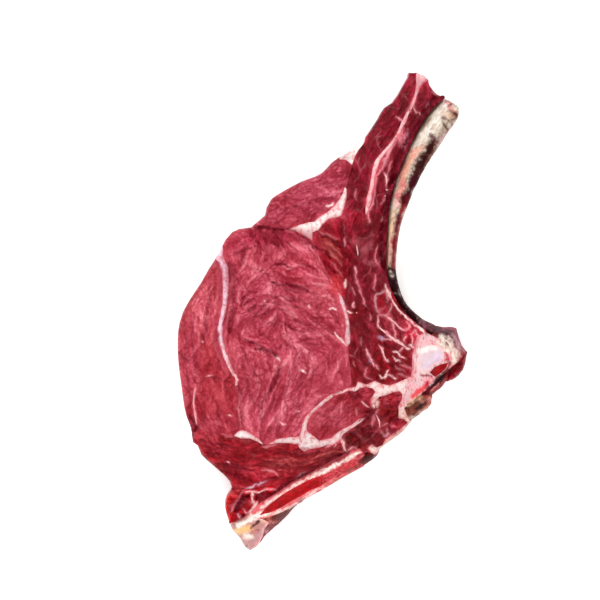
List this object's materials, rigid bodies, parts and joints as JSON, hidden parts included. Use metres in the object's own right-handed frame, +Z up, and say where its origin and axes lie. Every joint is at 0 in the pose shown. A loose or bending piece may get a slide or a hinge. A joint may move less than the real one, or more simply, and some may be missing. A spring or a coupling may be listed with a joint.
{
  "type": "raw bone-in rib steak",
  "caption": "Raw bone-in rib steak lying on its cut face, with a long curved rib, a cut backbone, a round eye muscle, seams of fat and a strip of marrow bone.",
  "frame": {"origin": "under the middle of the steak's footprint, on the surface it lies on", "axes": "+Z up out of the shown cut face, +Y towards the end of the long rib, +X towards the concave side"},
  "size_m": [0.189, 0.312, 0.0368],
  "materials": {
    "meat": "moist cut red meat",
    "dark_meat": "moist cut dark red meat",
    "fat": "firm pink-white fat",
    "bone": "moist sawn bone",
    "dried_bone": "brown dried bone and membrane",
    "marrow": "wet red marrow",
    "cartilage": "smooth moist gristle"
  },
  "bodies": {
    "root": {"rib_bone": "bone", "joint_cartilage": "cartilage", "vertebra_marrow": "marrow", "vertebra_body": "bone", "vertebra_knob": "dried_bone", "canal_floor": "dried_bone", "canal_lobe": "dark_meat", "rib_head": "bone", "feather_marrow": "marrow", "feather_bone": "bone", "feather_side": "dried_bone", "feather_cartilage": "cartilage", "feather_root": "dried_bone", "fat_spine": "fat", "fat_chine": "fat", "fat_lower": "fat", "fat_lower_left": "fat", "fat_left": "fat", "fat_upper": "fat", "fat_corner": "fat", "fat_rib": "fat", "fat_eye": "fat", "eye_muscle": "meat", "corner_muscle": "meat", "small_muscle": "meat", "fold_muscle": "dark_meat", "upper_muscle": "meat", "rib_muscle_outer": "dark_meat", "rib_muscle_inner": "dark_meat", "chine_muscle": "dark_meat", "spine_muscle": "dark_meat", "tip_muscle": "dark_meat", "cap_muscle": "meat", "base_muscle": "dark_meat"}
  },
  "joints": []
}
